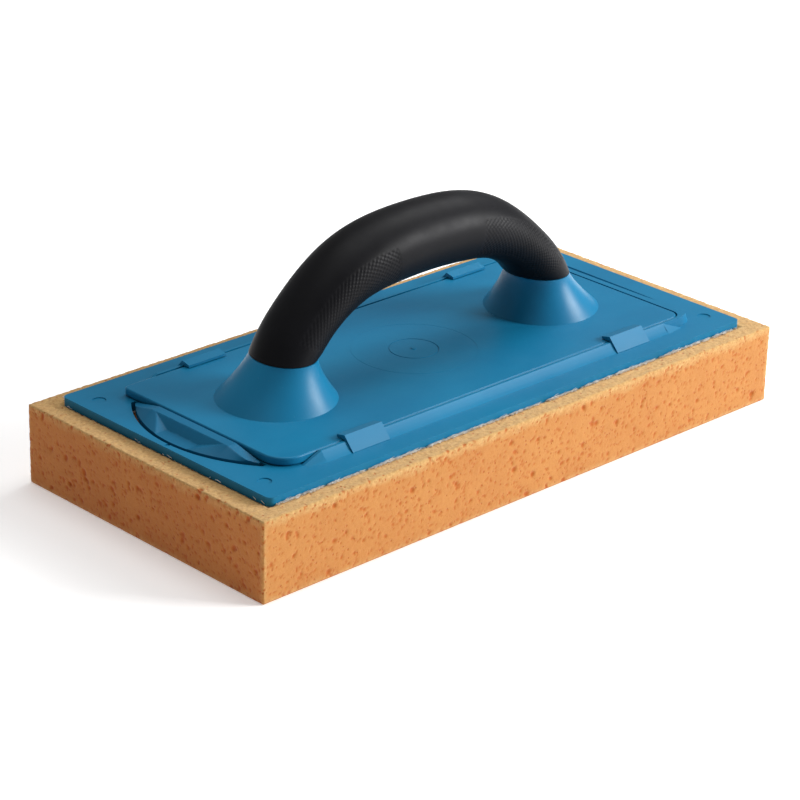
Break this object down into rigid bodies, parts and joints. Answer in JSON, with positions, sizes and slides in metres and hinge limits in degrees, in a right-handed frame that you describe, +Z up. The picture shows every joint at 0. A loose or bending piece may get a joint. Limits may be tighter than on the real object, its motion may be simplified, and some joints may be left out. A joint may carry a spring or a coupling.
{
  "type": "sponge grout float",
  "caption": "Sponge float with an arch grip on a slide-in handle plate, held by a push latch on a sponge-faced base plate.",
  "frame": {"origin": "middle of the sponge's working underside", "axes": "+X along the length, away from the release latch; +Y across, with the viewer's side at -Y; +Z up from the working face to the grip"},
  "size_m": [0.28, 0.137, 0.1023],
  "materials": {
    "orange_sponge": "open-cell sponge, orange, matt, with round pores",
    "white_fibre": "white fibre bonding layer, fringed edge",
    "blue_plate": "satin petrol-blue moulding",
    "blue_latch": "satin petrol-blue moulding",
    "blue_handle_plate": "satin petrol-blue moulding",
    "black_core": "hard black plastic",
    "black_soft_grip": "satin soft-touch rubber with knurled flank patches",
    "zinc_steel": "bright zinc plate"
  },
  "bodies": {
    "base": {"sponge_pad": "orange_sponge", "bonding_felt": "white_fibre", "base_plate": "blue_plate"},
    "latch": {"release_latch": "blue_latch"},
    "handle": {"handle_plate": "blue_handle_plate", "handle_core": "black_core", "handle_grip": "black_soft_grip", "handle_screw_left": "zinc_steel", "handle_screw_right": "zinc_steel", "handle_washer_left": "zinc_steel", "handle_washer_right": "zinc_steel"}
  },
  "joints": [
    {"name": "latch_press", "type": "hinge", "parent": "base", "child": "latch", "pos_m": [-0.084, 0, 0.0353], "axis": [0, -1, 0], "range_deg": [0, 7.2], "stiffness_Nm_per_rad": 2.4},
    {"name": "handle_slide", "type": "slide", "parent": "base", "child": "handle", "axis": [-1, 0, 0], "range_m": [0, 0.25], "deforming": ["release_latch"]}
  ]
}
